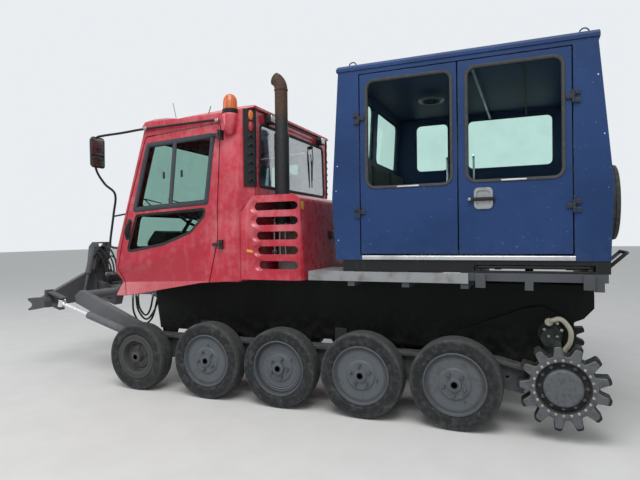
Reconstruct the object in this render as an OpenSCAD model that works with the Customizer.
// Snow groomer with a passenger cabin, parked on its road wheels with both tracks taken off.
// Millimetres. X runs forward, Y to the left and Z up from the ground.
// Places along X are measured from the axle of the rear sprockets, then moved by at_origin.

/* [Running gear] */
// Rear sprocket axle to the first road wheel behind the others
rear_wheel_x = 773; // [740:1:800]
// Distance between the axles of two large road wheels
wheel_pitch = 773; // [755:1:800]
// Distance from the last large road wheel to the front wheel
front_pitch = 846; // [820:1:880]
// Diameter of a large road wheel over its tyre
wheel_d = 725; // [680:1:735]
// Diameter of the middle road wheel, which is worn
worn_wheel_d = 711; // [680:1:735]
// Diameter of the small front wheel over its tyre
front_wheel_d = 670; // [640:1:700]
// Width of a tyre
tyre_w = 180; // [150:1:190]
// Distance from the middle of the machine to the outer face of a tyre
wheel_face_y = 1150; // [1130:1:1180]
// Diameter of the rim under a tyre
rim_d = 500; // [470:1:520]
// Depth of the grooves around a tyre
groove_depth = 9; // [4:1:12]
// Number of grooves around a tyre
groove_count = 4; // [2:1:6]
// Diameter of the hub flange
hub_d = 232; // [200:1:260]
// Diameter of a wheel's stub axle
stub_d = 60; // [45:1:70]
// Radial running clearance on an axle or a pin
running_gap = 0.4; // [0.2:0.1:0.8]

/* [Sprocket] */
// Height of the sprocket axle above the ground
sprocket_z = 411; // [395:1:430]
// Radius over the tips of the sprocket's teeth
tip_r = 320; // [305:1:330]
// Radius at the bottom of the gaps between teeth
root_r = 235; // [225:1:245]
// Number of teeth
tooth_count = 13; // [11:1:15]
// Width of the toothed ring
sprocket_w = 120; // [90:1:140]
// Thickness of the steel star on the sprocket's face
star_t = 14; // [8:1:20]
// Radius of the final drive's round cover in the middle of the sprocket
drive_cover_r = 134; // [110:1:150]

/* [Hull] */
// Distance from the middle to the hull's side
hull_half_w = 520; // [480:1:530]
// Height of the hull's flat top
hull_top_z = 1110; // [1090:1:1125]
// Height of the hull's bottom
hull_low_z = 521; // [490:1:560]
// Distance from the middle to the centre of a side beam
beam_y = 850; // [830:1:860]
// Width of a side beam's web box
beam_w = 80; // [60:1:90]
// Width of a side beam's top flange
flange_w = 160; // [130:1:170]
// Thickness of a side beam's top flange
flange_t = 25; // [15:1:30]

/* [Red cab] */
// Distance from the middle to the cab's side
cab_half_w = 1050; // [1030:1:1065]
// Thickness of the cab's walls and doors
cab_wall = 45; // [35:1:55]
// Height of the cab's widest line below its windows
belt_z = 1833; // [1800:1:1860]
// How far each side leans in from the widest line to the roof
cab_lean = 50; // [0:1:80]
// Height of the joint between roof and cab at the windscreen
cab_top_z = 2661; // [2640:1:2680]
// Depth of the tuck below the crease in the cab's side, at the nose
tuck_depth = 48; // [30:1:52]
// Thickness of the roof cap
roof_t = 42; // [35:1:50]
// Height of the roof cap's raised front edge over the windscreen
visor_h = 112; // [90:1:120]
// Gap around a door
door_gap = 11; // [9:1:13]
// Thickness of the glass
glass_t = 6; // [4:1:8]
// Gap between a window pane and its hole
glass_gap = 0.3; // [0.2:0.1:0.5]
// Diameter of the round beacon lenses
beacon_d = 132; // [100:1:140]

/* [Engine bay] */
// Height of the top of the engine bay
bay_top_z = 1925; // [1900:1:1945]
// Thickness of the engine bay's panels
bay_wall = 30; // [20:1:40]
// Number of cooling slots in each side panel
slot_count = 5; // [3:1:5]
// Distance between two cooling slots
slot_pitch = 136; // [125:1:140]
// Height of one cooling slot
slot_h = 75; // [50:1:85]
// Outer diameter of the exhaust sleeve
sleeve_d = 146; // [130:1:160]
// Outer diameter of the exhaust pipe
pipe_d = 126; // [100:1:128]

/* [Blue cabin] */
// Distance from the middle to the cabin's side
cabin_half_w = 1080; // [1060:1:1085]
// Height of the bottom of the cabin's walls
cabin_low_z = 1333; // [1325:1:1345]
// Height of the joint between the cabin's walls and roof
cabin_top_z = 2940; // [2930:1:2970]
// Thickness of the cabin's walls and doors
cabin_wall = 40; // [32:1:50]
// Thickness of the cabin's roof
cabin_roof_t = 60; // [50:1:70]
// Thickness of the bench cushions
cushion_t = 80; // [60:1:100]
// Diameter of the spare wheel
spare_d = 730; // [680:1:760]
// Width of the spare wheel
spare_w = 180; // [150:1:185]

/* [Bed] */
// Height of the underside of the deck
deck_low_z = 1308; // [1300:1:1315]
// Width of the deck's side rails
rail_w = 60; // [45:1:75]
// Number of cross beams under the deck
cross_beam_count = 5; // [4:1:6]
// Outer diameter of the pull out step's tube
step_tube_d = 26; // [20:1:30]
// Gap around what slides or swings
move_gap = 6; // [5:1:8]

/* [Front frame] */
// Distance from the middle to the centre of a push arm
arm_y = 615; // [610:1:630]
// Width of a push arm
arm_w = 90; // [70:1:100]
// Height of a push arm
arm_h = 150; // [120:1:160]
// Thickness of the front frame's plates
plate_t = 20; // [15:1:25]
// Diameter of the frame's cross tubes
cross_tube_d = 120; // [100:1:130]
// Diameter of the upright swing pin
swing_pin_d = 60; // [50:1:70]
// Outer diameter of the swing boss
swing_boss_d = 130; // [115:1:140]
// Height of the tower's top above the ground
tower_top_z = 1500; // [1450:1:1540]
// Distance from the middle to the outer face of a wing's claw
wing_end_y = 930; // [900:1:960]
// Outer diameter of a swing cylinder's barrel
barrel_d = 85; // [70:1:95]
// Diameter of a swing cylinder's rod
rod_d = 50; // [40:1:55]
// Outer diameter of the hydraulic hoses
hose_d = 24; // [18:1:30]

/* [Hidden] */
$fn = 48;

// Colours of the finishes
red = [0.62, 0.09, 0.13];
blue = [0.07, 0.13, 0.30];
steel_grey = [0.27, 0.29, 0.32];
hull_black = [0.05, 0.06, 0.07];
rubber = [0.09, 0.09, 0.09];
glass = [0.35, 0.45, 0.45, 0.5];
plain_alloy = [0.62, 0.63, 0.64];
amber = [0.95, 0.45, 0.05];
chrome = [0.85, 0.86, 0.88];

// Road wheels from the front to the rear: place along X and diameter
front_wheel_x = rear_wheel_x + 3 * wheel_pitch + front_pitch;
wheel_rows = [
    [front_wheel_x, front_wheel_d],
    [rear_wheel_x + 3 * wheel_pitch, wheel_d],
    [rear_wheel_x + 2 * wheel_pitch, worn_wheel_d],
    [rear_wheel_x + wheel_pitch, wheel_d],
    [rear_wheel_x, wheel_d]
];

// Hull
hull_front_x = front_wheel_x + 252;
hull_rear_x = -263;
drive_plate_t = 40;
hose_block_x = hull_front_x + 18;
hull_side = [
    [130, 640], [640, hull_low_z], [hull_front_x - 57, hull_low_z], [hull_front_x, 875],
    [hull_front_x, hull_top_z], [hull_rear_x, hull_top_z], [hull_rear_x, 920], [-185, 831],
    [-110, 798], [-110, 640]
];
beam_low_z = 300;
beam_top_z = 512;
beam_rear_x = 270;
beam_front_x = front_wheel_x + 60;
beam_in_y = beam_y - beam_w / 2;
beam_out_y = beam_y + beam_w / 2;

// Bed
rail_low_z = 1239;
bed_front_x = 1707;
bed_rear_x = -316;
bed_half_w = cabin_half_w - 5;
step_front_x = 623;
step_rear_x = -221;
step_z = 1283;
step_tube_x = [step_rear_x + 34, step_front_x - 34];
step_depth = 330;
walk_top_z = 1234;
walk_low_z = 1152;
walk_rear_x = 665;
walk_front_x = 2030;
walk_out_y = bed_half_w + 12;

// Cab outline from its rear wall forward, run anticlockwise: x, z and corner radius
cab_rear_x = 2650;
cab_seam_x = 2748;
cab_low_rear_z = 1127;
cab_nose_x = hull_front_x + 122;
cab_nose_z = 1232;
cab_low_front_z = 941;
// The pinched line around the cab between its sides and its skirt
waist_x = cab_nose_x - 97;
waist_rear_x = 3092;
waist_rear_z = 1118;
waist_fall = 0.033;
// The crease in the cab's side: x, height and depth of the tuck at the waist below it
crease = [
    [2980, 1730, -12], [3170, 1515, 4], [3327, 1407, 16], [3560, 1335, 27], [3809, 1284, 36],
    [cab_nose_x + 40, 1208, tuck_depth]
];
// How fast the skirt flares out again below the waist
skirt_flare = 0.32;
roof_slope = 5;
roof_rise = tan(roof_slope);
cab_top_x = 3900;
cab_rear_top_z = cab_top_z + (cab_top_x - cab_rear_x) * roof_rise;
cab_side = [
    [cab_seam_x, cab_low_rear_z, 0], [3207, 1096, 60], [4126, 944, 30],
    [cab_nose_x - 35, cab_low_front_z, 8], [waist_x, waist_z(waist_x), 10], [cab_nose_x, cab_nose_z, 20],
    [4120, belt_z, 60], [cab_top_x, cab_top_z, 30],
    [cab_rear_x, cab_rear_top_z, 20], [cab_rear_x, bay_top_z + 11, 20], [cab_seam_x, 1800, 20]
];
// Cab seen from above, anticlockwise: x, y and corner radius
cab_corner_in = 130;
cab_plan = [
    [cab_rear_x, -cab_half_w + cab_corner_in, 25],
    [cab_rear_x + 130, -cab_half_w, 60],
    [cab_nose_x - 50, -cab_half_w, 40],
    [cab_nose_x, -cab_half_w + 60, 50],
    [cab_nose_x + 1, cab_half_w - 60, 50],
    [cab_nose_x - 50, cab_half_w, 40],
    [cab_rear_x + 130, cab_half_w, 60],
    [cab_rear_x, cab_half_w - cab_corner_in, 25]
];
// Cab seen from the front, anticlockwise: y, z and corner radius
cab_front = [
    [-cab_half_w + 4, cab_low_front_z - 105, 0], [cab_half_w - 4, cab_low_front_z - 105, 0],
    [cab_half_w, belt_z, 200], [cab_half_w - cab_lean, cab_rear_top_z + 5, 20],
    [-cab_half_w + cab_lean, cab_rear_top_z + 5, 20], [-cab_half_w, belt_z, 200]
];

// Cab doors
door_outline = [
    [3111, 1045, 0], [4135, 880, 0], [4143, 944, 20], [4197, 1083, 30], [4252, 1225, 30],
    [4100, belt_z, 60], [3884, 2590, 40], [2966, 2655, 40], [2990, 1790, 60], [2990, 1520, 300]
];
door_hinge_x = 2958;
door_hinge_y = cab_half_w + 26;
upper_window = [[3106, 1866, 25], [4029, 1818, 25], [3864, 2514, 40], [3038, 2552, 40]];
lower_window = [
    [3150, 1740, 60], [3309, 1587, 120], [3652, 1469, 160], [4130, 1389, 40], [3989, 1785, 40],
    [3122, 1828, 30]
];
pane_in = 5;
hinge_heights = [2521, 1472];
knuckle_d = 22;
knuckle_h = 30;
floor_z = hull_top_z + 40;
seat_y = cab_half_w - 590;
dash_half_w = cab_half_w - 270;

// Engine bay
bay_rear_x = 2110;
bay_low_z = 1140;
bay_half_w = cab_half_w - 4;
slot_top_z = 1822;
slot_front_x = 2600;
stack_x = 2462;
stack_y = 715;
stack_joint_z = 2545;
stack_bend_z = 2980;
stack_bend_r = 130;
stack_bend = 60;

// Blue cabin outline, anticlockwise: x, z and corner radius
cabin_side = [
    [-316, cabin_low_z, 0], [1767, cabin_low_z, 0], [1800, 1851, 30],
    [1731, cabin_top_z, 0], [-248, cabin_top_z, 0], [-340, 1874, 30]
];
cabin_floor_z = cabin_low_z + cabin_wall;
leaf_front_x = 1549;
leaf_rear_x = -85;
leaf_seam_x = 737;
leaf_low_z = 1375;
leaf_top_z = 2905;
leaf_hinge_y = cabin_half_w + 15;
leaf_hinges = [1737, 2529];
// Cabin door windows: rear edge, front edge, lower edge, upper edge
pane_front = [783, 1484, 1940, 2836];
pane_rear = [-20, 668, 1950, 2840];
pane_r = 70;
// Windows in the right wall: rear edge, front edge, lower edge, upper edge
right_windows = [[-30, 905, 2300, 2880], [1115, 1515, 2300, 2880]];
end_window = [60, 960, 2310, 2870];
spare_z = 1830;
spare_rear_x = -340 - spare_w - 30;
spare_y = -470;
bench_half_w = cabin_half_w - cabin_wall - 40;

// Front frame
lift_x = front_wheel_x + 111;
lift_z = 380;
arm_tip_x = 5290;
cross_x = 5230;
cross_z = 850;
swing_x = 5430;
swing_point = [swing_x, 0, cross_z];
boss_h = 170;
wing_x = 5570;
wing_t = 60;
wing_low_z = 740;
wing_end_z = 850;
wing_mid_z = 1140;
tower_half_w = 110;
tower_front_x = 5700;
claw_front_x = 5760;
rod_eye = [5360, 800, 790];
barrel_eye = [4150, 765, 425];
swing_lean = atan2(rod_eye[2] - barrel_eye[2], rod_eye[0] - barrel_eye[0]);
eye_d = 84;
eye_pin_d = 40;
eye_slack = 14;
swing_stroke = 205;
lift_pin_d = 30;
lift_slack = 18;
eye_h = 84;
lift_top = [hull_front_x + 60, 0, 880];
lift_low = [cross_x - 130, 0, cross_z + 10];
lift_eye_d = 96;
lift_barrel_d = 90;
lift_rod_d = 50;
lift_rod_in = 135;
lift_barrel_l = 700;
swing_barrel_l = 830;

// The origin is on the ground, halfway between the claws and the spare wheel
mid_x = (claw_front_x + spare_rear_x) / 2;
arc_steps = 4;

// A vector of length one
function unit(v) = v / norm(v);
// The x and y of an outline's row
function flat(row) = [row[0], row[1]];
// Twice the signed area between two edges that leave a corner
function turn_of(u, v) = u[0] * v[1] - u[1] * v[0];
// The points of an arc that rounds the corner p between the points a and b
function corner_arc(a, p, b, r) = r <= 0 ? [p] :
    let (
        u = unit(a - p), v = unit(b - p), half = acos(u * v) / 2,
        centre = p + unit(u + v) * r / sin(half),
        first = p + u * r / tan(half) - centre, last = p + v * r / tan(half) - centre,
        start = atan2(first[1], first[0]),
        sweep = (atan2(last[1], last[0]) - start + 540) % 360 - 180
    )
    [for (i = [0:arc_steps])
        centre + r * [cos(start + sweep * i / arc_steps), sin(start + sweep * i / arc_steps)]];
// An outline with its corners rounded
function rounded(rows) = let (n = len(rows)) [
    for (i = [0:n - 1])
        each corner_arc(flat(rows[(i + n - 1) % n]), flat(rows[i]), flat(rows[(i + 1) % n]), rows[i][2])
];
// An anticlockwise outline moved inward by d, with its corner radii kept parallel
function inset(rows, d) = let (n = len(rows)) [
    for (i = [0:n - 1])
        let (
            p = flat(rows[i]), u = unit(flat(rows[(i + n - 1) % n]) - p),
            v = unit(flat(rows[(i + 1) % n]) - p),
            side = turn_of(v, u) > 0 ? 1 : -1,
            q = p + side * unit(u + v) * d / sin(acos(u * v) / 2)
        )
        [q[0], q[1], rows[i][2] <= 0 ? 0 : max(rows[i][2] - side * d, 1)]
];
// A window's four rounded corners from its edges
function window_rows(w, r) = [[w[0], w[2], r], [w[1], w[2], r], [w[1], w[3], r], [w[0], w[3], r]];
// Height of the waist at a place along the cab
function waist_z(x) = waist_rear_z - (x - waist_rear_x) * waist_fall;
// A point moved along the direction from a to b
function along(a, b, d) = a + unit(b - a) * d;

// Moves what is built from the sprocket's axle to the part's origin
module at_origin() {
    translate([-mid_x, 0, 0])
        children();
}

// The same piece on the left and on the right
module both_sides() {
    children();
    mirror([0, 1, 0])
        children();
}

// A side outline made into a slab between two distances from the middle
module slab_y(points, y0, y1) {
    translate([0, y1, 0])
        rotate([90, 0, 0])
            linear_extrude(y1 - y0)
                polygon(points);
}

// A front outline of y and z made into a slab between two places along X
module slab_x(points, x0, x1) {
    translate([x0, 0, 0])
        rotate([90, 0, 90])
            linear_extrude(x1 - x0)
                polygon(points);
}

// A box from its lowest to its highest corner
module box(low, high) {
    translate(low)
        cube(high - low);
}

// A round bar across the machine
module bar_y(x, z, d, y0, y1) {
    translate([x, y0, z])
        rotate([-90, 0, 0])
            cylinder(d = d, h = y1 - y0);
}

// A round bar from one point to another
module bar(a, b, d) {
    run = b - a;
    translate(a)
        rotate([0, acos(run[2] / norm(run)), atan2(run[1], run[0])])
            cylinder(d = d, h = norm(run));
}

// Bent round stock through a list of points, with balls at its bends
module bent_tube(points, d) {
    for (i = [0:len(points) - 2])
        bar(points[i], points[i + 1], d);
    for (i = [1:len(points) - 2])
        translate(points[i])
            sphere(d = d + 3);
}

// Hull

// The belly between the tracks, with its raked front and drive plates
module hull_tub() {
    at_origin()
        color(hull_black) {
            slab_y(hull_side, -hull_half_w, hull_half_w);
            both_sides() {
                slab_y([
                    [-110, 330], [60, 280], [330, 330], [864, hull_low_z], [864, 666], [249, 914],
                    [120, 930], [-110, 798]
                ], hull_half_w, hull_half_w + drive_plate_t);
                lift_lug();
            }
            lift_top_lug();
            box([hull_front_x - 70, 150, 600], [hose_block_x, 360, 860]);
        }
}

// The ear on the hull's side that a push arm turns on
module lift_lug() {
    bar_y(lift_x, lift_z, 60, hull_half_w - 30, arm_y + arm_w / 2 + 25);
    slab_y([
        [lift_x - 160, hull_low_z + 60], [lift_x - 60, lift_z - 60], [lift_x + 40, lift_z - 60],
        [lift_x + 70, hull_low_z + 60]
    ], hull_half_w - 45, hull_half_w - 5);
}

// The two ears on the hull's nose for the top of the lift cylinder
module lift_top_lug() {
    for (side = [-1, 1])
        translate([0, side * (lift_eye_d / 2 + 14), 0])
            slab_y([
                [hull_front_x - 25, 790], [lift_top[0] + 15, lift_top[2] - 45],
                [lift_top[0] + 35, lift_top[2]], [lift_top[0] + 15, lift_top[2] + 35],
                [hull_front_x - 5, lift_top[2] + 45]
            ], -9, 9);
    bar_y(lift_top[0], lift_top[2], lift_pin_d, -lift_eye_d / 2 - 23, lift_eye_d / 2 + 23);
}

// The long beams that carry the road wheels, with their flanges and tubes
module side_beams() {
    at_origin()
        color(steel_grey)
            both_sides() {
                difference() {
                    union() {
                        slab_y([
                            [beam_rear_x, beam_low_z - 24], [beam_rear_x + 170, beam_low_z],
                            [beam_front_x - 60, beam_low_z], [beam_front_x, beam_low_z + 60],
                            [beam_front_x, beam_top_z], [beam_rear_x + 200, beam_top_z],
                            [beam_rear_x, beam_top_z - 49]
                        ], beam_in_y, beam_out_y);
                        slab_y([
                            [beam_rear_x, beam_top_z - 49], [beam_rear_x + 200, beam_top_z],
                            [beam_front_x, beam_top_z], [beam_front_x, beam_top_z + flange_t],
                            [beam_rear_x + 200, beam_top_z + flange_t],
                            [beam_rear_x, beam_top_z - 49 + flange_t]
                        ], beam_y - flange_w / 2, beam_y + flange_w / 2);
                        box(
                            [beam_rear_x + 270, hull_half_w + drive_plate_t, beam_low_z + 60],
                            [beam_rear_x + 390, beam_in_y + 5, beam_top_z - 40]
                        );
                        for (x = [rear_wheel_x + 1.5 * wheel_pitch, front_wheel_x - 430]) {
                            box(
                                [x - 60, hull_half_w, beam_low_z + 30],
                                [x + 60, beam_in_y + 5, beam_top_z - 40]
                            );
                            box([x - 60, hull_half_w, beam_low_z + 30], [x + 60, hull_half_w + 25, 640]);
                        }
                    }
                    for (hole = [[beam_rear_x + 124, 400], [beam_rear_x + 46, 347]])
                        bar_y(hole[0], hole[1], 26, beam_in_y - 1, beam_out_y + 1);
                }
            }
}

// The stub axles with their flanges on the side beams
module stub_axles() {
    at_origin()
        color(steel_grey)
            both_sides()
                for (row = wheel_rows) {
                    bar_y(row[0], row[1] / 2, stub_d, beam_out_y, wheel_face_y - 22);
                    bar_y(row[0], row[1] / 2, 150, beam_out_y, beam_out_y + 28);
                }
}

// The final drives that carry the sprockets, with their motors
module final_drives() {
    at_origin()
        color([0.10, 0.14, 0.13])
            both_sides() {
                bar_y(0, sprocket_z, 330, hull_half_w + drive_plate_t, hull_half_w + 150);
                bar_y(0, sprocket_z, 270, hull_half_w + 150, wheel_face_y - 180);
                bar_y(
                    0, sprocket_z, 2 * drive_cover_r - 30, wheel_face_y - 180, wheel_face_y - sprocket_w - 14
                );
                bar_y(
                    0, sprocket_z, drive_cover_r, wheel_face_y - sprocket_w - 15,
                    wheel_face_y - 36 - 60 - running_gap
                );
                bar_y(70, sprocket_z + 300, 150, hull_half_w + drive_plate_t, hull_half_w + 290);
                bar_y(70, sprocket_z + 300, 190, hull_half_w + drive_plate_t, hull_half_w + 80);
                box(
                    [20, hull_half_w + drive_plate_t, sprocket_z + 120],
                    [120, hull_half_w + 120, sprocket_z + 260]
                );
            }
}

// Wheels

// One disc wheel about its own axle, with its outer face at y = 0 and its disc set in by face
module road_wheel(d, deep, face = 26) {
    rim_r = rim_d / 2 - (deep ? 28 : 0);
    mouth_r = deep ? 160 : rim_r - 16;
    shoulder = 26;
    step_in = (tyre_w - 2 * shoulder) / groove_count;
    rotate([-90, 0, 0]) {
        color(rubber)
            rotate_extrude($fn = 72)
                polygon(concat(
                    [[rim_r + glass_gap, -tyre_w + 12], [rim_r + 26, -tyre_w + 2],
                     [d / 2 - shoulder, -tyre_w]],
                    [[d / 2 - 8, -tyre_w + 8]],
                    [for (i = [0:groove_count - 1], k = [0:3])
                        [
                            d / 2 - (k == 1 || k == 2 ? groove_depth : 0),
                            -tyre_w + shoulder + step_in * (i + 0.5) + (k < 2 ? -4 : 4)
                        ]],
                    [[d / 2 - 8, -8], [d / 2 - shoulder, 0], [rim_r + 26, -2], [rim_r + glass_gap, -12]]
                ));
        color(steel_grey)
            rotate_extrude($fn = 72)
                polygon([
                    [stub_d / 2 + running_gap, -face - 46], [hub_d / 2, -face - 46],
                    [hub_d / 2 + 6, -face - 16],
                    [rim_r - 26, -face - 12], [rim_r - 12, -face - 30], [rim_r - 12, -tyre_w + 16],
                    [rim_r, -tyre_w + 10], [rim_r, -14],
                    [rim_r - 5, -6], [mouth_r + 4, -6], [mouth_r, -18], [mouth_r - 10, -face],
                    [hub_d / 2 + 14, -face - 4], [hub_d / 2, -face + 8], [stub_d / 2 + 26, -face + 10],
                    [stub_d / 2 + 22, -4], [stub_d / 2 - 6, 0], [0, 0], [0, -22 + running_gap],
                    [stub_d / 2 + running_gap, -22 + running_gap]
                ]);
    }
}

// One wheel of the table, on the left for side = 1 and on the right for side = -1
module wheel(index, side) {
    row = wheel_rows[index];
    at_origin()
        mirror([0, side > 0 ? 0 : 1, 0])
            translate([row[0], wheel_face_y, row[1] / 2])
                road_wheel(row[1], index == 0, index == 0 ? 70 : index == 2 ? 44 : 26);
}

module wheel_left_1() { wheel(0, 1); }
module wheel_left_2() { wheel(1, 1); }
module wheel_left_3() { wheel(2, 1); }
module wheel_left_4() { wheel(3, 1); }
module wheel_left_5() { wheel(4, 1); }
module wheel_right_1() { wheel(0, -1); }
module wheel_right_2() { wheel(1, -1); }
module wheel_right_3() { wheel(2, -1); }
module wheel_right_4() { wheel(3, -1); }
module wheel_right_5() { wheel(4, -1); }

// One tooth's outline, from one gap's bottom to the next
function tooth_points(tip, root, i) = let (step = 360 / tooth_count, a = i * step) [
    for (row = [[-0.5, 0], [-0.34, 0.05], [-0.24, 0.45], [-0.17, 0.9], [-0.1, 1],
        [0.1, 1], [0.17, 0.9], [0.24, 0.45], [0.34, 0.05]])
        (root + (tip - root) * row[1]) * [cos(a + row[0] * step), sin(a + row[0] * step)]
];

// The toothed drive wheel about its axle, with its outer face at y = 0
module drive_sprocket() {
    rotate([90, 0, 0]) {
        color(rubber)
            difference() {
                linear_extrude(sprocket_w)
                    polygon([for (i = [0:tooth_count - 1]) each tooth_points(tip_r, root_r, i)]);
                translate([0, 0, -1])
                    cylinder(r = 183, h = sprocket_w + 2, $fn = 72);
            }
        color(steel_grey) {
            translate([0, 0, -star_t])
                difference() {
                    linear_extrude(star_t)
                        polygon([for (i = [0:tooth_count - 1]) each tooth_points(tip_r - 22, root_r - 8, i)]);
                    translate([0, 0, -1])
                        cylinder(r = 190, h = star_t + 2, $fn = 72);
                }
            rotate_extrude($fn = 72)
                polygon([
                    [0, -star_t - 22], [drive_cover_r - 12, -star_t - 22], [drive_cover_r, -star_t - 12],
                    [drive_cover_r, 24], [183, 24], [183, sprocket_w - 10], [150, sprocket_w - 10],
                    [150, 60], [0, 60]
                ]);
        }
    }
}

module sprocket_left() {
    at_origin()
        translate([0, wheel_face_y - 36, sprocket_z])
            drive_sprocket();
}

module sprocket_right() {
    at_origin()
        mirror([0, 1, 0])
            translate([0, wheel_face_y - 36, sprocket_z])
                drive_sprocket();
}

// Bed

// The deck with its side rails, cross beams and the slot for the step
module bed_frame() {
    at_origin()
        color(steel_grey)
            difference() {
                union() {
                    box([bed_rear_x, -bed_half_w, deck_low_z], [bed_front_x, bed_half_w, cabin_low_z]);
                    both_sides()
                        box(
                            [bed_rear_x, bed_half_w - rail_w, rail_low_z],
                            [bed_front_x, bed_half_w, deck_low_z + 1]
                        );
                    for (i = [0:cross_beam_count - 1])
                        translate([
                            bed_rear_x + 40 + i * (bed_front_x - bed_rear_x - 140) / (cross_beam_count - 1),
                            0, 0
                        ])
                            box([0, -bed_half_w, hull_top_z], [60, bed_half_w, deck_low_z + 1]);
                    both_sides()
                        box(
                            [step_rear_x - 80, bed_half_w - rail_w, 1175],
                            [step_front_x + 40, bed_half_w, rail_low_z + 1]
                        );
                    both_sides()
                        for (x = [step_rear_x + 6, step_front_x - 87])
                            box([x, bed_half_w - 10, 1124], [x + 75, bed_half_w + 26, 1230]);
                    bent_tube([
                        [bed_rear_x + 10, 1000, 1280], [bed_rear_x - 108, 1000, 1392],
                        [bed_rear_x - 108, 700, 1392], [bed_rear_x + 10, 700, 1280]
                    ], step_tube_d);
                }
                difference() {
                    box(
                        [step_rear_x, bed_half_w - rail_w - step_depth - 40, 1254],
                        [step_front_x, bed_half_w + 1, deck_low_z - 8]
                    );
                    for (x = step_tube_x)
                        box(
                            [x - 15, 0, 1250],
                            [x + 15, bed_half_w + 2, step_z - step_tube_d / 2 - running_gap]
                        );
                }
            }
}

// The pull out step: a bent tube with its two slide bars
module step() {
    at_origin()
        color(steel_grey) {
            bar_y(step_tube_x[0], step_z, step_tube_d, bed_half_w - rail_w - step_depth, bed_half_w - 16);
            bar_y(step_tube_x[1], step_z, step_tube_d, bed_half_w - rail_w - step_depth, bed_half_w - 16);
            bar(
                [step_tube_x[0], bed_half_w - 16, step_z],
                [step_tube_x[1], bed_half_w - 16, step_z], step_tube_d
            );
            box(
                [step_tube_x[0], bed_half_w - 140, step_z - 4],
                [step_tube_x[1], bed_half_w - 20, step_z + 4]
            );
        }
}

// The chequer plate walkways beside the bed
module walkways() {
    at_origin()
        color(plain_alloy)
            both_sides() {
                box([walk_rear_x, bed_half_w, walk_low_z], [walk_front_x, walk_out_y, walk_top_z]);
                box(
                    [bed_front_x, hull_half_w - 20, walk_top_z - 6],
                    [walk_front_x, walk_out_y, walk_top_z]
                );
                box(
                    [walk_front_x - 8, hull_half_w - 20, hull_top_z],
                    [walk_front_x, hull_half_w, walk_top_z]
                );
            }
}

// Red cab

// The cab seen from above and from the front, moved inward by d
module cab_walls(d) {
    intersection() {
        translate([0, 0, cab_low_front_z - 200])
            linear_extrude(cab_rear_top_z - cab_low_front_z + 250)
                polygon(rounded(inset(cab_plan, d)));
        slab_x(rounded(inset(cab_front, d)), cab_rear_x - 50, cab_nose_x + 50);
    }
}

// The cab's block before its sides are tucked in, moved inward by d
module cab_block(d) {
    intersection() {
        slab_y(rounded(inset(cab_side, d)), -cab_half_w - 50, cab_half_w + 50);
        cab_walls(d);
    }
}

// The wedges that tuck both sides in from the crease to the waist, moved inward by d
module tucks(d) {
    last = len(crease) - 1;
    both_sides()
        translate([0, cab_half_w - d, 0])
            polyhedron(
                [for (row = crease)
                    let (low = waist_z(row[0]), over = 1 + 60 / (row[1] - low))
                    each [
                        [row[0], -row[2] - 3, low],
                        [row[0], 400 * skirt_flare - row[2] - 3, low - 400],
                        [row[0], 200, low + over * (row[1] - low)],
                        [row[0], (over - 1) * (row[2] + 1) - 2, low + over * (row[1] - low)]
                    ]],
                concat(
                    [[0, 1, 2], [0, 2, 3], [4 * last, 4 * last + 2, 4 * last + 1]],
                    [[4 * last, 4 * last + 3, 4 * last + 2]],
                    [for (i = [0:last - 1], k = [0:3])
                        [4 * i + k, 4 * i + 4 + (k + 1) % 4, 4 * i + (k + 1) % 4]],
                    [for (i = [0:last - 1], k = [0:3])
                        [4 * i + k, 4 * i + 4 + k, 4 * i + 4 + (k + 1) % 4]]
                )
            );
}

// The cab's outer form moved inward by d
module cab_form(d) {
    difference() {
        cab_block(d);
        tucks(d);
    }
}

// The cab's walls alone, open at the top and below
module cab_skin() {
    sill_y = cab_half_w - tuck_depth - cab_wall - 4;
    difference() {
        cab_form(0);
        cab_form(cab_wall);
        translate([0, 0, 2 * cab_wall])
            intersection() {
                cab_block(cab_wall);
                box([0, -2000, cab_top_z - 3 * cab_wall], [5000, 2000, 3000]);
            }
        box([cab_seam_x + cab_wall, -sill_y, 0], [waist_x - cab_wall, sill_y, floor_z + 40]);
    }
}

// The walls that a door takes out of the cab, on the left
module door_hole() {
    difference() {
        intersection() {
            cab_block(-20);
            door_prism(0);
        }
        difference() {
            cab_walls(cab_wall + door_gap);
            tucks(cab_wall + door_gap);
        }
    }
}

// The cab's floor on the hull
module cab_floor() {
    difference() {
        intersection() {
            cab_walls(cab_wall - 1);
            box(
                [cab_seam_x + cab_wall - 1, -cab_half_w, hull_top_z],
                [waist_x - 20, cab_half_w, floor_z]
            );
        }
        tucks(cab_wall - 1);
    }
}

// The upright prism of a door, made larger or smaller by d, on the left
module door_prism(d) {
    slab_y(rounded(inset(door_outline, d)), cab_half_w - 260, cab_half_w + 60);
}

// The windows of one door, made smaller by d, on the left
module door_windows(d) {
    slab_y(rounded(inset(upper_window, d)), cab_half_w - 260, cab_half_w + 60);
    slab_y(rounded(inset(lower_window, d)), cab_half_w - 260, cab_half_w + 60);
}

// Windscreen, lower front windows and the rear window, made smaller by d
module cab_end_windows(d) {
    slab_x(rounded(inset([
        [-880, belt_z + 40, 60], [880, belt_z + 40, 60], [850, cab_top_z - 90, 60], [-850, cab_top_z - 90, 60]
    ], d)), 3700, 4400);
    slab_x(rounded(inset([
        [-820, 1440, 60], [820, 1440, 60], [860, belt_z - 40, 60], [-860, belt_z - 40, 60]
    ], d)), 3700, 4400);
    slab_x(rounded(inset([
        [-840, 2035, 50], [840, 2035, 50], [800, 2645, 50], [-800, 2645, 50]
    ], d)), cab_rear_x - 30, cab_rear_x + cab_wall + 30);
}

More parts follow.
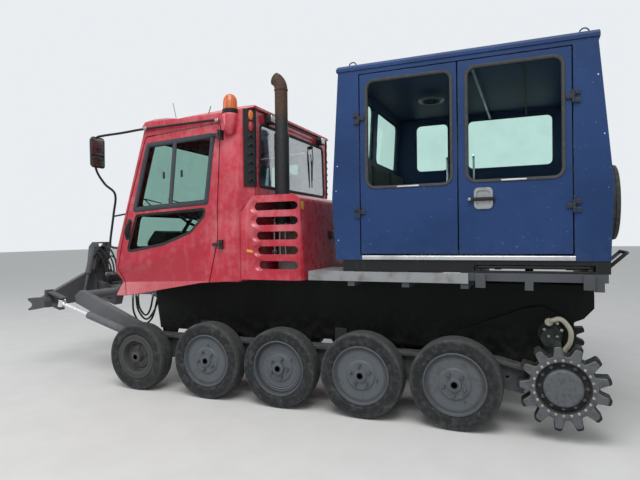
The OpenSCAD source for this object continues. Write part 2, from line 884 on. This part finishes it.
module cab_shell() {
    at_origin()
        color(red)
            difference() {
                union() {
                    cab_skin();
                    cab_floor();
                    both_sides()
                        for (z = hinge_heights)
                            door_hinge_seat(z);
                }
                both_sides()
                    door_hole();
                cab_end_windows(0);
                box(
                    [cab_rear_x - 50, -hull_half_w - move_gap, 0],
                    [hull_front_x + move_gap, hull_half_w + move_gap, hull_top_z]
                );
            }
}

// The two fixed knuckles of a door hinge on the left, with their plate on the pillar
module door_hinge_seat(z) {
    for (end = [-1, 1])
        translate([door_hinge_x, door_hinge_y, z + end * (knuckle_h + running_gap) - knuckle_h / 2])
            cylinder(d = knuckle_d, h = knuckle_h);
    difference() {
        box(
            [door_hinge_x - 28, cab_half_w - cab_lean - 10, z - 1.5 * knuckle_h],
            [door_hinge_x, door_hinge_y + 4, z + 1.5 * knuckle_h]
        );
        translate([door_hinge_x, door_hinge_y, z - knuckle_h / 2 - running_gap])
            cylinder(r = knuckle_d / 2 + move_gap, h = knuckle_h + 2 * running_gap);
        translate([0, 0, z - knuckle_h / 2 - running_gap])
            box(
                [door_hinge_x - 12, cab_half_w - 200, 0],
                [door_hinge_x + 10, door_hinge_y + 20, knuckle_h + 2 * running_gap]
            );
    }
}

// The moving knuckle of a door hinge on the left, with its strap on the door
module door_hinge_strap(z) {
    translate([door_hinge_x, door_hinge_y, z - knuckle_h / 2])
        cylinder(d = knuckle_d, h = knuckle_h);
    for (end = [[0, 4, -6], [60, 0, 5]])
        difference() {
            box(
                [door_hinge_x + end[0], cab_half_w - cab_lean - 30, z - knuckle_h / 2],
                [door_hinge_x + 82, door_hinge_y + end[1], z + knuckle_h / 2]
            );
            cab_block(end[2]);
        }
}

// The cap of the roof, which falls toward the windscreen
module cab_roof() {
    at_origin()
        color(red)
            translate([0, 0, glass_gap])
                roof_form(0);
}

// The roof cap's form made larger by d
module roof_form(d) {
    front = [cab_top_x + 16, cab_top_z - 16 * roof_rise];
    rear = [cab_rear_x - 20, cab_rear_top_z + 20 * roof_rise];
    edge_y = cab_half_w - cab_lean;
    intersection() {
        slab_y(rounded(inset([
            [rear[0], rear[1], 0], [front[0], front[1], 0], [front[0] + 14, front[1] + 35, 10],
            [front[0] - 16, front[1] + visor_h - 32, 30], [front[0] - 126, front[1] + visor_h, 60],
            [front[0] - 276, front[1] + visor_h - 6, 80], [front[0] - 440, front[1] + roof_t + 36, 80],
            [rear[0] + 126, rear[1] + roof_t - 8, 60], [rear[0], rear[1] + roof_t - 14, 10]
        ], -d)), -cab_half_w, cab_half_w);
        slab_x(rounded(inset([
            [-edge_y - 10, cab_top_z - 40, 0], [edge_y + 10, cab_top_z - 40, 0],
            [edge_y, cab_rear_top_z - 25, 30], [edge_y - 90, cab_rear_top_z + roof_t + 3, 60],
            [-edge_y + 90, cab_rear_top_z + roof_t + 3, 60], [-edge_y, cab_rear_top_z - 25, 30]
        ], -d)), cab_rear_x - 60, cab_top_x + 60);
    }
}

// A thin shell of glass just below the cab's outer form
module cab_pane_shell() {
    difference() {
        cab_block(pane_in);
        cab_block(pane_in + glass_t);
    }
}

module cab_glass() {
    at_origin()
        color(glass)
            intersection() {
                cab_pane_shell();
                cab_end_windows(glass_gap);
            }
}

// A door's leaf on the left, with its two windows and its two hinge straps
module cab_door() {
    color(red)
        difference() {
            intersection() {
                cab_form(0);
                door_prism(door_gap);
            }
            difference() {
                cab_walls(cab_wall);
                tucks(cab_wall);
            }
            door_windows(0);
        }
    for (z = hinge_heights)
        color(rubber)
            door_hinge_strap(z);
}

module cab_door_left() {
    at_origin()
        cab_door();
}

module cab_door_right() {
    at_origin()
        mirror([0, 1, 0])
            cab_door();
}

// The panes of a door on the left
module door_glass() {
    color(glass)
        intersection() {
            cab_pane_shell();
            door_windows(glass_gap);
        }
}

module cab_glass_left() {
    at_origin()
        door_glass();
}

module cab_glass_right() {
    at_origin()
        mirror([0, 1, 0])
            door_glass();
}

// The black strips with the rear lamps and vents on the cab's rear corners
module lamp_strips() {
    at_origin()
        color(hull_black)
            both_sides()
                intersection() {
                    difference() {
                        cab_block(-14);
                        cab_block(-glass_gap);
                    }
                    box(
                        [cab_rear_x - 30, cab_half_w - cab_corner_in - 10, 2020],
                        [cab_rear_x + 70, cab_half_w, 2760]
                    );
                }
}

// Beacons, rear lamps, work lamps and head lamps
module lamps() {
    at_origin()
        difference() {
            both_sides()
                lamp_set();
            cab_block(-glass_gap);
            roof_form(glass_gap);
            both_sides()
                intersection() {
                    cab_block(-14 - glass_gap);
                    box(
                        [cab_rear_x - 60, cab_half_w - cab_corner_in - 12, 2000],
                        [cab_rear_x + 80, cab_half_w, cab_rear_top_z]
                    );
                }
        }
}

// The lamps on the left: beacon on its pod, rear lamp, work lamp and head lamp
module lamp_set() {
    beacon_r = beacon_d / 2;
    translate([2856, cab_half_w - cab_lean + 15, 2512]) {
        color(red)
            rotate_extrude()
                polygon([
                    [0, 0], [30, 6], [52, 28], [66, 63], [73, 108], [beacon_r + 10, 158],
                    [beacon_r + 11, 207], [0, 207]
                ]);
        color(hull_black)
            translate([0, 0, 206])
                cylinder(r = beacon_r + 11, h = 42);
        color(amber)
            rotate_extrude()
                polygon([
                    [0, 247], [beacon_r, 247], [beacon_r - 2, 315], [beacon_r - 9, 355],
                    [beacon_r - 24, 382], [beacon_r - 44, 394], [0, 397]
                ]);
    }
    color(amber)
        bar([2690, 900, 2720], [2633, 949, 2720], 60);
    color(chrome) {
        box([cab_rear_x - 70, 600, 2670], [cab_rear_x + 10, 720, 2755]);
        box([cab_nose_x - 90, 620, 1265], [cab_nose_x + 12, 860, 1365]);
    }
}

// The mirror hoops at the windscreen pillars with their mirror heads
module mirrors() {
    at_origin()
        color(hull_black)
            difference() {
                both_sides()
                    mirror_set();
                cab_block(-glass_gap);
                roof_form(glass_gap);
            }
}

// The hoop and the mirror head on the left
module mirror_set() {
    arm_y = cab_half_w - 14;
    head_y = cab_half_w + 150;
    post_y = cab_half_w - 50;
    bent_tube([
        [2985, arm_y, 2673], [3900, arm_y, 2664], [4180, cab_half_w + 60, 2628],
        [4340, head_y, 2600], [4375, head_y, 2560], [4375, head_y, 2250], [4290, post_y, 2010],
        [4395, post_y, 1470], [4200, post_y, 1440]
    ], 24);
    for (x = [2992, 3860])
        bar([x, arm_y, 2668], [x, arm_y - 80, 2668], 20);
    bar([4335, post_y, 1780], [4090, post_y, 1810], 18);
    box([4330, head_y - 85, 2270], [4372, head_y + 105, 2590]);
}

// Two seats on their pedestals
module seats() {
    at_origin()
        color([0.12, 0.12, 0.13])
            both_sides() {
                box([3080, seat_y - 190, floor_z], [3420, seat_y + 190, 1561]);
                box([3000, seat_y - 240, 1560], [3540, seat_y + 240, 1680]);
                slab_y(
                    [[2960, 1600], [3100, 1600], [2990, 2330], [2850, 2330]],
                    seat_y - 220, seat_y + 220
                );
            }
}

// The dash with its steering wheel and the lever box
module console() {
    at_origin()
        color([0.15, 0.15, 0.16]) {
            slab_y(
                [[3860, floor_z], [4080, floor_z], [4080, 1500], [3980, 1620], [3840, 1600]],
                -dash_half_w, dash_half_w
            );
            box([3060, -150, floor_z], [3600, 150, 1640]);
            bar([3870, seat_y, 1580], [3730, seat_y, 1760], 40);
            translate([3730, seat_y, 1760])
                rotate([0, -38, 0])
                    rotate_extrude()
                        translate([175, 0])
                            circle(d = 30, $fn = 20);
            translate([3730, seat_y, 1760])
                rotate([0, -38, 0])
                    for (a = [0:120:240])
                        rotate([0, 90, a])
                            cylinder(d = 18, h = 175, $fn = 20);
        }
}

// Engine bay

// The hood with its louvred side panels, rear face and top
module engine_bay() {
    side = [
        [bay_rear_x, bay_low_z, 0], [cab_seam_x - 8, bay_low_z, 0], [cab_seam_x - 8, 1771, 20],
        [cab_rear_x - 42, bay_top_z, 40], [bay_rear_x + 30, bay_top_z, 60]
    ];
    plan = [
        [bay_rear_x, -bay_half_w, 90], [cab_seam_x, -bay_half_w, 0], [cab_seam_x, bay_half_w, 0],
        [bay_rear_x, bay_half_w, 90]
    ];
    at_origin()
        color(red)
            difference() {
                intersection() {
                    slab_y(rounded(side), -bay_half_w, bay_half_w);
                    translate([0, 0, bay_low_z - 1])
                        linear_extrude(bay_top_z)
                            polygon(rounded(plan));
                }
                intersection() {
                    translate([0, 0, -50])
                        slab_y(
                            rounded([
                                [bay_rear_x + bay_wall, bay_low_z, 0], [cab_seam_x + 50, bay_low_z, 0],
                                [cab_seam_x + 50, bay_top_z + 50 - bay_wall, 0],
                                [bay_rear_x + bay_wall, bay_top_z + 50 - bay_wall, 60]
                            ]),
                            -bay_half_w + bay_wall, bay_half_w - bay_wall
                        );
                }
                both_sides()
                    for (i = [0:slot_count - 1])
                        side_slot(slot_top_z - i * slot_pitch, i * 11);
                translate([stack_x, stack_y, bay_top_z - 100])
                    cylinder(d = sleeve_d + 2 * running_gap, h = 200);
            }
    at_origin()
        color(red)
            box(
                [bay_rear_x, -hull_half_w, hull_top_z],
                [bay_rear_x + bay_wall, hull_half_w, bay_low_z]
            );
}

// One cooling slot with round ends and a pressed scoop at its front, moved back by shift
module side_slot(z, shift) {
    ends = [bay_rear_x + 80, slot_front_x - slot_h / 2 - shift];
    for (x = ends)
        bar_y(x, z, slot_h, bay_half_w - bay_wall - 20, bay_half_w + 20);
    box(
        [ends[0], bay_half_w - bay_wall - 20, z - slot_h / 2],
        [ends[1], bay_half_w + 20, z + slot_h / 2]
    );
    translate([ends[1] + 25, bay_half_w + 2 * bay_wall - 5, z])
        sphere(r = 2.65 * bay_wall);
}

// The engine's plain block on the hull
module engine() {
    at_origin()
        color(steel_grey)
            box([bay_rear_x + 90, -380, hull_top_z], [cab_seam_x - 60, 380, 1720]);
}

// The upright exhaust with its sleeve, its pipe and its turned mouth
module exhaust() {
    mouth = [stack_bend_r * (1 - cos(stack_bend)), 0, stack_bend_z + stack_bend_r * sin(stack_bend)];
    out = [sin(stack_bend), 0, cos(stack_bend)];
    at_origin()
        color([0.12, 0.13, 0.13])
            translate([stack_x, stack_y, 0])
                difference() {
                    union() {
                        translate([0, 0, bay_top_z - 250])
                            cylinder(d = sleeve_d, h = stack_joint_z - bay_top_z + 250);
                        translate([0, 0, bay_top_z + glass_gap])
                            cylinder(d = sleeve_d + 60, h = 25);
                        translate([0, 0, stack_joint_z - 1])
                            cylinder(d = pipe_d, h = stack_bend_z - stack_joint_z + 1);
                        translate([0, 0, stack_bend_z - 10])
                            cylinder(d = pipe_d + 10, h = 10);
                        translate([stack_bend_r, 0, stack_bend_z])
                            rotate([90, 0, 0])
                                rotate([0, 0, 180 - stack_bend])
                                    rotate_extrude(angle = stack_bend)
                                        translate([stack_bend_r, 0])
                                            circle(d = pipe_d);
                    }
                    bar(mouth - 60 * out, mouth + 10 * out, pipe_d - 12);
                }
}

// Blue cabin

// The cabin's outer form moved inward by d
module cabin_form(d) {
    slab_y(rounded(inset(cabin_side, d)), -cabin_half_w + d, cabin_half_w - d);
}

// One window's prism through a side wall, made smaller by d
module side_window(w, d) {
    slab_y(rounded(inset(window_rows(w, pane_r), d)), -cabin_half_w - 20, -cabin_half_w + cabin_wall + 20);
}

// The windows of both end walls, made smaller by d
module end_windows(d) {
    both_sides()
        slab_x(
            rounded(inset(window_rows(end_window, pane_r), d)),
            -400, 1900
        );
}

module cabin_shell() {
    at_origin()
        color(blue)
            difference() {
                cabin_form(0);
                intersection() {
                    cabin_form(cabin_wall);
                    box([-400, -cabin_half_w, cabin_floor_z], [1900, cabin_half_w, cabin_top_z + 100]);
                }
                translate([0, 0, cabin_wall])
                    intersection() {
                        cabin_form(cabin_wall);
                        box([-400, -cabin_half_w, 2500], [1900, cabin_half_w, cabin_top_z + 100]);
                    }
                box([leaf_rear_x, 900, leaf_low_z], [leaf_front_x, cabin_half_w + 20, leaf_top_z]);
                for (w = right_windows)
                    side_window(w, 0);
                end_windows(0);
            }
    at_origin()
        color(plain_alloy)
            for (z = leaf_hinges) {
                leaf_hinge_seat(leaf_front_x, 1, z);
                leaf_hinge_seat(leaf_rear_x, -1, z);
            }
}

// The cabin's flat roof with its drip edge and four lifting eyes
module cabin_roof() {
    over = 8;
    at_origin()
        color(blue) {
            slab_x([
                [-cabin_half_w - over, cabin_top_z], [cabin_half_w + over, cabin_top_z],
                [cabin_half_w + over, cabin_top_z + 27], [cabin_half_w - 40, cabin_top_z + cabin_roof_t],
                [-cabin_half_w + 40, cabin_top_z + cabin_roof_t], [-cabin_half_w - over, cabin_top_z + 27]
            ], -262, 1745);
            both_sides()
                for (x = [1616, -164])
                    translate([x, cabin_half_w - 60, cabin_top_z + cabin_roof_t - 1])
                        rotate([90, 0, 0])
                            rotate_extrude(angle = 180)
                                translate([32, 0])
                                    circle(d = 10, $fn = 16);
        }
}

// A thin shell of glass in the middle of the cabin's walls
module cabin_pane_shell() {
    difference() {
        cabin_form(cabin_wall / 2 - glass_t / 2);
        cabin_form(cabin_wall / 2 + glass_t / 2);
    }
}

module cabin_glass() {
    at_origin()
        color(glass)
            intersection() {
                cabin_pane_shell();
                union() {
                    for (w = right_windows)
                        side_window(w, glass_gap);
                    end_windows(glass_gap);
                }
            }
}

// One leaf of the cabin's door between two places along X, hinged at its edge on the side of dir
module cabin_leaf(x0, x1, w, dir) {
    hinge_x = dir > 0 ? x1 + door_gap : x0 - door_gap;
    at_origin() {
        color(blue)
            difference() {
                box(
                    [x0, cabin_half_w - cabin_wall, leaf_low_z + door_gap],
                    [x1, cabin_half_w, leaf_top_z - door_gap]
                );
                slab_y(rounded(window_rows(w, pane_r)), cabin_half_w - 100, cabin_half_w + 20);
            }
        for (z = leaf_hinges)
            leaf_knuckle(hinge_x, dir > 0 ? x1 : x0, z);
    }
}

// A leaf's knuckle with its strap to the leaf's edge
module leaf_knuckle(hinge_x, edge_x, z) {
    side = sign(edge_x - hinge_x);
    color(plain_alloy) {
        translate([hinge_x, leaf_hinge_y, z - knuckle_h / 2])
            cylinder(d = knuckle_d, h = knuckle_h);
        box(
            [min(hinge_x, edge_x + side * 40), cabin_half_w, z - knuckle_h / 2],
            [max(hinge_x, edge_x + side * 40), leaf_hinge_y, z + knuckle_h / 2]
        );
    }
}

// The fixed knuckles beside one leaf, with their plate on the wall
module leaf_hinge_seat(hinge_x, dir, z) {
    for (end = [-1, 1])
        translate([hinge_x, leaf_hinge_y, z + end * (knuckle_h + running_gap) - knuckle_h / 2])
            cylinder(d = knuckle_d, h = knuckle_h);
    for (end = [-1, 1])
        translate([0, 0, z + end * (knuckle_h + running_gap) - knuckle_h / 2])
            box(
                [min(hinge_x, hinge_x + dir * 45), cabin_half_w - 1, 0],
                [max(hinge_x, hinge_x + dir * 45), leaf_hinge_y, knuckle_h]
            );
}

module cabin_door_front() {
    cabin_leaf(leaf_seam_x + 6, leaf_front_x - door_gap, pane_front, 1);
}

module cabin_door_rear() {
    cabin_leaf(leaf_rear_x + door_gap, leaf_seam_x - 6, pane_rear, -1);
}

// The pane of one leaf
module leaf_pane(w) {
    at_origin()
        color(glass)
            slab_y(
                rounded(inset(window_rows(w, pane_r), glass_gap)),
                cabin_half_w - cabin_wall / 2 - glass_t / 2, cabin_half_w - cabin_wall / 2 + glass_t / 2
            );
}

module cabin_pane_front() {
    leaf_pane(pane_front);
}

module cabin_pane_rear() {
    leaf_pane(pane_rear);
}

// Benches along the front and the rear wall
module benches() {
    at_origin()
        color([0.16, 0.16, 0.17]) {
            half_w = bench_half_w;
            seat_z = cabin_floor_z + 367;
            box([1330, -half_w, cabin_floor_z], [1720, half_w, seat_z]);
            box([1290, -half_w, seat_z], [1720, half_w, seat_z + cushion_t]);
            box([1650, -half_w, seat_z + cushion_t - 1], [1725, half_w, 2250]);
            box([-250, -half_w, cabin_floor_z], [140, half_w, seat_z]);
            box([-260, -half_w, seat_z], [180, half_w, seat_z + cushion_t]);
            box([-255, -half_w, seat_z + cushion_t - 1], [-185, half_w, 2250]);
        }
}

// The spare road wheel on the rear wall with its bracket
module spare_wheel() {
    at_origin() {
        translate([spare_rear_x, spare_y, spare_z])
            rotate([0, 0, 90])
                road_wheel(spare_d, false);
        color(steel_grey)
            difference() {
                union() {
                    translate([spare_rear_x + 22, spare_y, spare_z])
                        rotate([0, 90, 0])
                            cylinder(d = stub_d, h = spare_w + 60);
                    translate([spare_rear_x + spare_w + 10, spare_y - 120, spare_z - 120])
                        cube([60, 240, 240]);
                }
                cabin_form(-glass_gap);
            }
    }
}

// Front frame

// One push arm's side outline about the line from the lift pin to the cross tube
function arm_outline() = [
    [lift_x - 70, lift_z - 60], [lift_x + 80, lift_z - 60],
    [arm_tip_x, cross_z - arm_h / 2], [arm_tip_x + 10, cross_z + 10], [arm_tip_x - 70, cross_z + arm_h / 2],
    [lift_x - 20, lift_z + 75], [lift_x - 75, lift_z + 30]
];

// The two push arms with their cross tube, swing yoke and ears
module push_frame() {
    at_origin()
        color(steel_grey)
            difference() {
                union() {
                    both_sides() {
                        slab_y(arm_outline(), arm_y - arm_w / 2, arm_y + arm_w / 2);
                        leaned(barrel_eye) {
                            for (z = [-eye_h / 2 - eye_slack - plate_t, eye_h / 2 + eye_slack])
                                translate([0, 0, z])
                                    box(
                                        [-60, arm_y + arm_w / 2 - 1 - barrel_eye[1], 0],
                                        [32, 34, plate_t]
                                    );
                            translate([0, 0, -eye_h / 2 - eye_slack - 1])
                                cylinder(d = eye_pin_d, h = eye_h + 2 * eye_slack + 2);
                        }
                    }
                    bar_y(cross_x, cross_z, cross_tube_d, -arm_y, arm_y);
                    for (side = [-1, 1])
                        translate([0, side * (lift_eye_d / 2 + 14), 0])
                            slab_y([
                                [cross_x, cross_z - 50], [cross_x, cross_z + 55],
                                [lift_low[0], lift_low[2] + 34], [lift_low[0] - 34, lift_low[2] + 8],
                                [lift_low[0] - 34, lift_low[2] - 8], [lift_low[0], lift_low[2] - 34]
                            ], -9, 9);
                    bar_y(lift_low[0], lift_low[2], lift_pin_d, -lift_eye_d / 2 - 23, lift_eye_d / 2 + 23);
                    leaned(swing_point) {
                        for (z = [-boss_h / 2 - 5 - 30, boss_h / 2 + 5]) {
                            translate([0, 0, z])
                                cylinder(d = swing_boss_d, h = 30);
                            translate([0, 0, z])
                                box([-191, -swing_boss_d / 2, 0], [0, swing_boss_d / 2, 30]);
                        }
                        box(
                            [-211, -swing_boss_d / 2, -boss_h / 2 - 35],
                            [-131, swing_boss_d / 2, boss_h / 2 + 35]
                        );
                        translate([0, 0, -boss_h / 2 - 60])
                            cylinder(d = swing_pin_d, h = boss_h + 120);
                    }
                }
                both_sides()
                    bar_y(
                        lift_x, lift_z, 60 + 2 * running_gap, arm_y - arm_w / 2 - 1, arm_y + arm_w / 2 + 1
                    );
            }
}

// The carrier: swing boss, tower, wings with their claws and the tilt cylinder
module carrier() {
    at_origin()
        color(steel_grey)
            difference() {
                union() {
                    leaned(swing_point) {
                        translate([0, 0, -boss_h / 2])
                            cylinder(d = swing_boss_d, h = boss_h);
                        box(
                            [0, -swing_boss_d / 2 + 10, -boss_h / 2],
                            [170, swing_boss_d / 2 - 10, boss_h / 2]
                        );
                    }
                    both_sides() {
                        slab_x([
                            [0, wing_low_z], [wing_end_y - 60, wing_low_z], [wing_end_y - 60, wing_end_z],
                            [130, wing_mid_z], [0, wing_mid_z]
                        ], wing_x, wing_x + wing_t);
                        slab_y([
                            [wing_x - 60, wing_low_z], [tower_front_x, wing_low_z], [tower_front_x, 1100],
                            [tower_front_x - 50, tower_top_z - 60], [tower_front_x - 110, tower_top_z],
                            [wing_x - 60, tower_top_z], [wing_x - 90, tower_top_z - 70], [wing_x - 20, 1150]
                        ], tower_half_w - plate_t, tower_half_w);
                        claw();
                        clevis_plates();
                    }
                    box(
                        [tower_front_x - 110, -tower_half_w, wing_low_z],
                        [tower_front_x - 110 + plate_t, tower_half_w, tower_top_z - 60]
                    );
                    box(
                        [wing_x - 60, -tower_half_w, tower_top_z - plate_t],
                        [tower_front_x - 110, tower_half_w, tower_top_z]
                    );
                    tilt_cylinder();
                }
                leaned(swing_point)
                    translate([0, 0, -boss_h / 2 - 1])
                        cylinder(d = swing_pin_d + 2 * running_gap, h = boss_h + 2);
            }
}

// The forward facing jaw at the end of a wing
module claw() {
    slab_y([
        [wing_x - 90, wing_low_z + 10], [claw_front_x - 20, wing_low_z - 40],
        [claw_front_x, wing_low_z - 25], [claw_front_x - 40, wing_low_z - 5],
        [claw_front_x - 62, wing_low_z + 8], [claw_front_x - 72, wing_low_z + 28],
        [claw_front_x - 62, wing_low_z + 48], [claw_front_x - 40, wing_low_z + 62],
        [claw_front_x, wing_low_z + 85], [claw_front_x - 10, wing_low_z + 105],
        [wing_x - 60, wing_end_z + 10], [wing_x - 90, wing_end_z - 30]
    ], wing_end_y - 100, wing_end_y);
}

// The two plates that hold a swing cylinder's rod eye
module clevis_plates() {
    leaned(rod_eye)
        for (z = [-eye_h / 2 - eye_slack - plate_t, eye_h / 2 + eye_slack])
            translate([0, 0, z])
                box([-30, -38, 0], [wing_x - rod_eye[0], 38, plate_t]);
    box([wing_x - 30, rod_eye[1] - 46, wing_low_z - 8], [wing_x + 12, rod_eye[1] + 46, rod_eye[2] + 150]);
}

// The tilt cylinder between the tower's top and the wing's rear face
module tilt_cylinder() {
    top = [wing_x - 55, tower_half_w + 50, tower_top_z - 90];
    low = [wing_x - 55, 330, wing_low_z + 90];
    bar(top, along(top, low, 330), 80);
    bar(along(top, low, 320), low, 40);
    box(top - [35, 60, 35], top + [35, 25, 35]);
    box(low - [35, 20, 35], low + [70, 20, 35]);
}

// Moves what is built about the origin to the point p, leaned back as the swing pin is
module leaned(p) {
    translate(p)
        rotate([0, -swing_lean, 0])
            children();
}

// One cylinder's barrel from its rear eye
module barrel(from, to, length) {
    color(steel_grey)
        difference() {
            union() {
                leaned(from)
                    translate([0, 0, -eye_h / 2])
                        cylinder(d = eye_d, h = eye_h);
                bar(along(from, to, eye_d / 2 - 10), along(from, to, length), barrel_d);
            }
            bar(along(from, to, eye_d / 2 + 40), along(from, to, length + 1), rod_d + 2 * running_gap);
            leaned(from)
                translate([0, 0, -eye_h / 2 - 1])
                    cylinder(d = eye_pin_d + 2 * running_gap, h = eye_h + 2);
        }
}

// One cylinder's rod with its eye
module rod(from, to) {
    color(chrome)
        difference() {
            union() {
                bar(along(from, to, eye_d / 2 + 50 + swing_stroke), along(to, from, eye_d / 2 - 12), rod_d);
                leaned(to)
                    translate([0, 0, -eye_h / 2])
                        cylinder(d = eye_d, h = eye_h);
            }
            leaned(to)
                translate([0, 0, -eye_h / 2 - 1])
                    cylinder(d = eye_pin_d, h = eye_h + 2);
        }
}

module swing_barrel_left() {
    at_origin()
        barrel(barrel_eye, rod_eye, swing_barrel_l);
}

module swing_rod_left() {
    at_origin()
        rod(barrel_eye, rod_eye);
}

module swing_barrel_right() {
    at_origin()
        mirror([0, 1, 0])
            barrel(barrel_eye, rod_eye, swing_barrel_l);
}

module swing_rod_right() {
    at_origin()
        mirror([0, 1, 0])
            rod(barrel_eye, rod_eye);
}

// The lift cylinder's barrel below the hull's nose
module lift_barrel() {
    at_origin()
        color(steel_grey)
            difference() {
                union() {
                    bar_y(lift_top[0], lift_top[2], lift_eye_d, -lift_eye_d / 2, lift_eye_d / 2);
                    bar(
                        along(lift_top, lift_low, lift_eye_d / 2 - 12),
                        along(lift_top, lift_low, lift_barrel_l), lift_barrel_d
                    );
                }
                bar_y(lift_top[0], lift_top[2], lift_pin_d + 2 * running_gap, -lift_eye_d, lift_eye_d);
                bar(
                    along(lift_top, lift_low, lift_eye_d / 2 + 12),
                    along(lift_top, lift_low, lift_barrel_l + 1), lift_rod_d + 2 * running_gap
                );
            }
}

// The lift cylinder's rod, which ends just short of its pin
module lift_rod() {
    at_origin()
        color(chrome)
            difference() {
                union() {
                    bar(
                        along(lift_top, lift_low, lift_rod_in),
                        along(lift_low, lift_top, lift_eye_d / 2 - 12), lift_rod_d
                    );
                    bar_y(lift_low[0], lift_low[2], lift_eye_d, -lift_eye_d / 2, lift_eye_d / 2);
                }
                bar_y(lift_low[0], lift_low[2], lift_pin_d + 2 * lift_slack, -lift_eye_d, lift_eye_d);
            }
}

// The hydraulic hoses that loop below the cab's nose
module hoses() {
    at_origin()
        color(rubber)
            for (i = [0:2])
                translate([hose_block_x + glass_gap, 195 + 60 * i, 730])
                    rotate([90, 0, 0])
                        rotate([0, 0, -90])
                            rotate_extrude(angle = 180)
                                translate([80 + 15 * i, 0])
                                    circle(d = hose_d);
}

hull_tub();
side_beams();
stub_axles();
final_drives();
bed_frame();
walkways();
step();
cab_shell();
cab_roof();
cab_glass();
lamp_strips();
lamps();
mirrors();
cab_door_left();
cab_door_right();
cab_glass_left();
cab_glass_right();
seats();
console();
engine_bay();
engine();
exhaust();
cabin_shell();
cabin_roof();
cabin_glass();
benches();
spare_wheel();
cabin_door_front();
cabin_door_rear();
cabin_pane_front();
cabin_pane_rear();
push_frame();
lift_barrel();
lift_rod();
carrier();
hoses();
swing_barrel_left();
swing_rod_left();
swing_barrel_right();
swing_rod_right();
wheel_left_1();
wheel_left_2();
wheel_left_3();
wheel_left_4();
wheel_left_5();
wheel_right_1();
wheel_right_2();
wheel_right_3();
wheel_right_4();
wheel_right_5();
sprocket_left();
sprocket_right();
